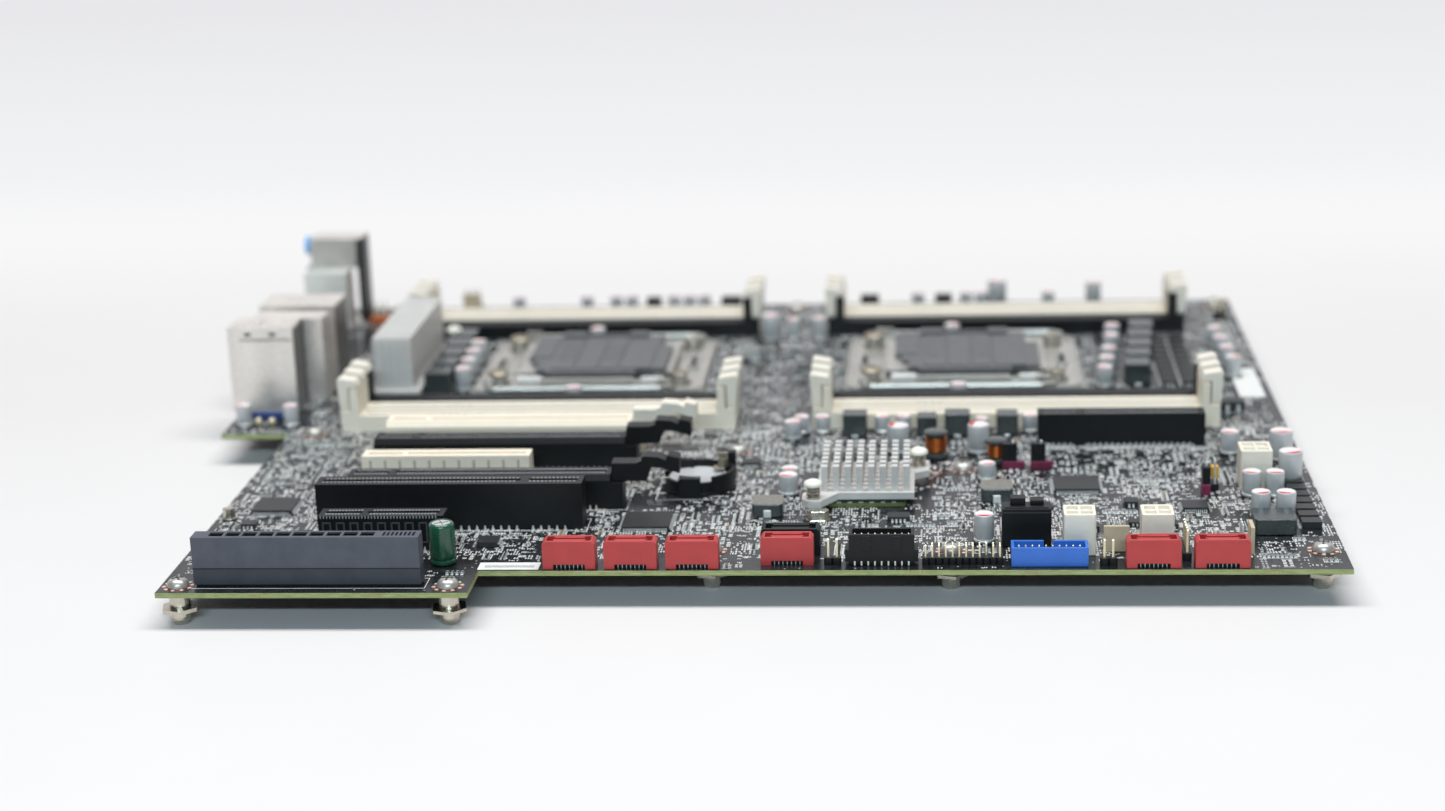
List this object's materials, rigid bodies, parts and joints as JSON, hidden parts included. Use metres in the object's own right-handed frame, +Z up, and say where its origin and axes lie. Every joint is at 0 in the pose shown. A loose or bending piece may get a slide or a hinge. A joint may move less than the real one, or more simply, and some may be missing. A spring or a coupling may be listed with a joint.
{
  "type": "motherboard",
  "caption": "Two-socket workstation motherboard on standoffs, with latched memory sockets, levered processor sockets, card slots, heatsinks and rear connector stacks.",
  "frame": {"origin": "middle of the bounding box's bottom face, level with the bottoms of the standoffs", "axes": "+X right along the front edge, +Y from the front edge to the back edge, +Z up from the standoffs to the component side"},
  "size_m": [0.3798, 0.3466, 0.0491],
  "materials": {
    "board_mask": "satin solder mask",
    "socket_steel": "plain sheet steel",
    "black_plastic": "satin",
    "ivory_plastic": "satin",
    "slate_plastic": "satin",
    "heatsink_aluminium": "fine matte",
    "connector_shield": "bright tin plate",
    "standoff_nickel": "nickel plate"
  },
  "bodies": {
    "board": {"pcb": "board_mask", "standoff_front_left": "standoff_nickel", "standoff_front_right": "standoff_nickel", "standoff_rear_left": "standoff_nickel", "standoff_rear_right": "standoff_nickel", "memory_bank_front_left": "ivory_plastic", "memory_bank_front_right": "ivory_plastic", "memory_bank_rear_left": "ivory_plastic", "memory_bank_rear_right": "ivory_plastic", "cpu_left_frame": "socket_steel", "cpu_right_frame": "socket_steel", "slot_1_x4": "black_plastic", "slot_2_pci": "black_plastic", "slot_3_x16": "black_plastic", "slot_4_x8": "ivory_plastic", "slot_5_x16": "black_plastic", "slot_6_x16": "ivory_plastic", "riser_slot": "black_plastic", "power_connector": "slate_plastic", "vrm_heatsink": "heatsink_aluminium", "chipset_heatsink": "heatsink_aluminium", "battery_holder": "black_plastic", "io_stack_front": "connector_shield", "io_stack_middle": "connector_shield", "audio_stack": "connector_shield"},
    "latch_front_left_1_l": {"latch_front_left_1_l": "ivory_plastic"},
    "latch_front_left_1_r": {"latch_front_left_1_r": "ivory_plastic"},
    "latch_front_left_2_l": {"latch_front_left_2_l": "ivory_plastic"},
    "latch_front_left_2_r": {"latch_front_left_2_r": "ivory_plastic"},
    "latch_front_left_3_l": {"latch_front_left_3_l": "ivory_plastic"},
    "latch_front_left_3_r": {"latch_front_left_3_r": "ivory_plastic"},
    "latch_front_right_1_l": {"latch_front_right_1_l": "ivory_plastic"},
    "latch_front_right_1_r": {"latch_front_right_1_r": "ivory_plastic"},
    "latch_front_right_2_l": {"latch_front_right_2_l": "ivory_plastic"},
    "latch_front_right_2_r": {"latch_front_right_2_r": "ivory_plastic"},
    "latch_front_right_3_l": {"latch_front_right_3_l": "ivory_plastic"},
    "latch_front_right_3_r": {"latch_front_right_3_r": "ivory_plastic"},
    "latch_rear_left_1_l": {"latch_rear_left_1_l": "ivory_plastic"},
    "latch_rear_left_1_r": {"latch_rear_left_1_r": "ivory_plastic"},
    "latch_rear_left_2_l": {"latch_rear_left_2_l": "ivory_plastic"},
    "latch_rear_left_2_r": {"latch_rear_left_2_r": "ivory_plastic"},
    "latch_rear_left_3_l": {"latch_rear_left_3_l": "ivory_plastic"},
    "latch_rear_left_3_r": {"latch_rear_left_3_r": "ivory_plastic"},
    "latch_rear_right_1_l": {"latch_rear_right_1_l": "ivory_plastic"},
    "latch_rear_right_1_r": {"latch_rear_right_1_r": "ivory_plastic"},
    "latch_rear_right_2_l": {"latch_rear_right_2_l": "ivory_plastic"},
    "latch_rear_right_2_r": {"latch_rear_right_2_r": "ivory_plastic"},
    "latch_rear_right_3_l": {"latch_rear_right_3_l": "ivory_plastic"},
    "latch_rear_right_3_r": {"latch_rear_right_3_r": "ivory_plastic"},
    "cpu_left_plate": {"cpu_left_load_plate": "socket_steel", "cpu_left_cover": "black_plastic"},
    "cpu_left_lever_front": {"cpu_left_lever_front": "socket_steel"},
    "cpu_left_lever_rear": {"cpu_left_lever_rear": "socket_steel"},
    "cpu_right_plate": {"cpu_right_load_plate": "socket_steel", "cpu_right_cover": "black_plastic"},
    "cpu_right_lever_front": {"cpu_right_lever_front": "socket_steel"},
    "cpu_right_lever_rear": {"cpu_right_lever_rear": "socket_steel"},
    "card_latch_3": {"card_latch_3": "black_plastic"},
    "card_latch_5": {"card_latch_5": "black_plastic"},
    "card_latch_6": {"card_latch_6": "ivory_plastic"}
  },
  "joints": [
    {"name": "latch_front_left_1_l_hinge", "type": "hinge", "parent": "board", "child": "latch_front_left_1_l", "pos_m": [-0.1417, -0.0059, 0.014], "axis": [0, -1, 0], "range_deg": [0, 25]},
    {"name": "latch_front_left_1_r_hinge", "type": "hinge", "parent": "board", "child": "latch_front_left_1_r", "pos_m": [-0.0031, -0.0059, 0.014], "axis": [0, 1, 0], "range_deg": [0, 25]},
    {"name": "latch_front_left_2_l_hinge", "type": "hinge", "parent": "board", "child": "latch_front_left_2_l", "pos_m": [-0.1417, 0.00426, 0.014], "axis": [0, -1, 0], "range_deg": [0, 25]},
    {"name": "latch_front_left_2_r_hinge", "type": "hinge", "parent": "board", "child": "latch_front_left_2_r", "pos_m": [-0.0031, 0.00426, 0.014], "axis": [0, 1, 0], "range_deg": [0, 25]},
    {"name": "latch_front_left_3_l_hinge", "type": "hinge", "parent": "board", "child": "latch_front_left_3_l", "pos_m": [-0.1417, 0.01442, 0.014], "axis": [0, -1, 0], "range_deg": [0, 25]},
    {"name": "latch_front_left_3_r_hinge", "type": "hinge", "parent": "board", "child": "latch_front_left_3_r", "pos_m": [-0.0031, 0.01442, 0.014], "axis": [0, 1, 0], "range_deg": [0, 25]},
    {"name": "latch_front_right_1_l_hinge", "type": "hinge", "parent": "board", "child": "latch_front_right_1_l", "pos_m": [0.0271, -0.0059, 0.014], "axis": [0, -1, 0], "range_deg": [0, 25]},
    {"name": "latch_front_right_1_r_hinge", "type": "hinge", "parent": "board", "child": "latch_front_right_1_r", "pos_m": [0.1657, -0.0059, 0.014], "axis": [0, 1, 0], "range_deg": [0, 25]},
    {"name": "latch_front_right_2_l_hinge", "type": "hinge", "parent": "board", "child": "latch_front_right_2_l", "pos_m": [0.0271, 0.00426, 0.014], "axis": [0, -1, 0], "range_deg": [0, 25]},
    {"name": "latch_front_right_2_r_hinge", "type": "hinge", "parent": "board", "child": "latch_front_right_2_r", "pos_m": [0.1657, 0.00426, 0.014], "axis": [0, 1, 0], "range_deg": [0, 25]},
    {"name": "latch_front_right_3_l_hinge", "type": "hinge", "parent": "board", "child": "latch_front_right_3_l", "pos_m": [0.0271, 0.01442, 0.014], "axis": [0, -1, 0], "range_deg": [0, 25]},
    {"name": "latch_front_right_3_r_hinge", "type": "hinge", "parent": "board", "child": "latch_front_right_3_r", "pos_m": [0.1657, 0.01442, 0.014], "axis": [0, 1, 0], "range_deg": [0, 25]},
    {"name": "latch_rear_left_1_l_hinge", "type": "hinge", "parent": "board", "child": "latch_rear_left_1_l", "pos_m": [-0.1417, 0.1231, 0.014], "axis": [0, -1, 0], "range_deg": [0, 25]},
    {"name": "latch_rear_left_1_r_hinge", "type": "hinge", "parent": "board", "child": "latch_rear_left_1_r", "pos_m": [-0.0031, 0.1231, 0.014], "axis": [0, 1, 0], "range_deg": [0, 25]},
    {"name": "latch_rear_left_2_l_hinge", "type": "hinge", "parent": "board", "child": "latch_rear_left_2_l", "pos_m": [-0.1417, 0.13326, 0.014], "axis": [0, -1, 0], "range_deg": [0, 25]},
    {"name": "latch_rear_left_2_r_hinge", "type": "hinge", "parent": "board", "child": "latch_rear_left_2_r", "pos_m": [-0.0031, 0.13326, 0.014], "axis": [0, 1, 0], "range_deg": [0, 25]},
    {"name": "latch_rear_left_3_l_hinge", "type": "hinge", "parent": "board", "child": "latch_rear_left_3_l", "pos_m": [-0.1417, 0.14342, 0.014], "axis": [0, -1, 0], "range_deg": [0, 25]},
    {"name": "latch_rear_left_3_r_hinge", "type": "hinge", "parent": "board", "child": "latch_rear_left_3_r", "pos_m": [-0.0031, 0.14342, 0.014], "axis": [0, 1, 0], "range_deg": [0, 25]},
    {"name": "latch_rear_right_1_l_hinge", "type": "hinge", "parent": "board", "child": "latch_rear_right_1_l", "pos_m": [0.0271, 0.1231, 0.014], "axis": [0, -1, 0], "range_deg": [0, 25]},
    {"name": "latch_rear_right_1_r_hinge", "type": "hinge", "parent": "board", "child": "latch_rear_right_1_r", "pos_m": [0.1657, 0.1231, 0.014], "axis": [0, 1, 0], "range_deg": [0, 25]},
    {"name": "latch_rear_right_2_l_hinge", "type": "hinge", "parent": "board", "child": "latch_rear_right_2_l", "pos_m": [0.0271, 0.13326, 0.014], "axis": [0, -1, 0], "range_deg": [0, 25]},
    {"name": "latch_rear_right_2_r_hinge", "type": "hinge", "parent": "board", "child": "latch_rear_right_2_r", "pos_m": [0.1657, 0.13326, 0.014], "axis": [0, 1, 0], "range_deg": [0, 25]},
    {"name": "latch_rear_right_3_l_hinge", "type": "hinge", "parent": "board", "child": "latch_rear_right_3_l", "pos_m": [0.0271, 0.14342, 0.014], "axis": [0, -1, 0], "range_deg": [0, 25]},
    {"name": "latch_rear_right_3_r_hinge", "type": "hinge", "parent": "board", "child": "latch_rear_right_3_r", "pos_m": [0.1657, 0.14342, 0.014], "axis": [0, 1, 0], "range_deg": [0, 25]},
    {"name": "cpu_left_plate_hinge", "type": "hinge", "parent": "board", "child": "cpu_left_plate", "pos_m": [-0.0299, 0.0703, 0.0164], "axis": [0, 1, 0], "range_deg": [0, 100]},
    {"name": "cpu_left_lever_front_hinge", "type": "hinge", "parent": "board", "child": "cpu_left_lever_front", "pos_m": [-0.0977, 0.0321, 0.0152], "axis": [0, -1, 0], "range_deg": [0, 120]},
    {"name": "cpu_left_lever_rear_hinge", "type": "hinge", "parent": "board", "child": "cpu_left_lever_rear", "pos_m": [-0.0241, 0.1085, 0.0152], "axis": [0, 1, 0], "range_deg": [0, 120]},
    {"name": "cpu_right_plate_hinge", "type": "hinge", "parent": "board", "child": "cpu_right_plate", "pos_m": [0.1101, 0.0703, 0.0164], "axis": [0, 1, 0], "range_deg": [0, 100]},
    {"name": "cpu_right_lever_front_hinge", "type": "hinge", "parent": "board", "child": "cpu_right_lever_front", "pos_m": [0.0423, 0.0321, 0.0152], "axis": [0, -1, 0], "range_deg": [0, 120]},
    {"name": "cpu_right_lever_rear_hinge", "type": "hinge", "parent": "board", "child": "cpu_right_lever_rear", "pos_m": [0.1159, 0.1085, 0.0152], "axis": [0, 1, 0], "range_deg": [0, 120]},
    {"name": "card_latch_3_hinge", "type": "hinge", "parent": "board", "child": "card_latch_3", "pos_m": [-0.0243, -0.09176, 0.0212], "axis": [0, 1, 0], "range_deg": [0, 12]},
    {"name": "card_latch_5_hinge", "type": "hinge", "parent": "board", "child": "card_latch_5", "pos_m": [-0.0243, -0.05112, 0.0212], "axis": [0, 1, 0], "range_deg": [0, 12]},
    {"name": "card_latch_6_hinge", "type": "hinge", "parent": "board", "child": "card_latch_6", "pos_m": [-0.0243, -0.0308, 0.0212], "axis": [0, 1, 0], "range_deg": [0, 12]}
  ]
}
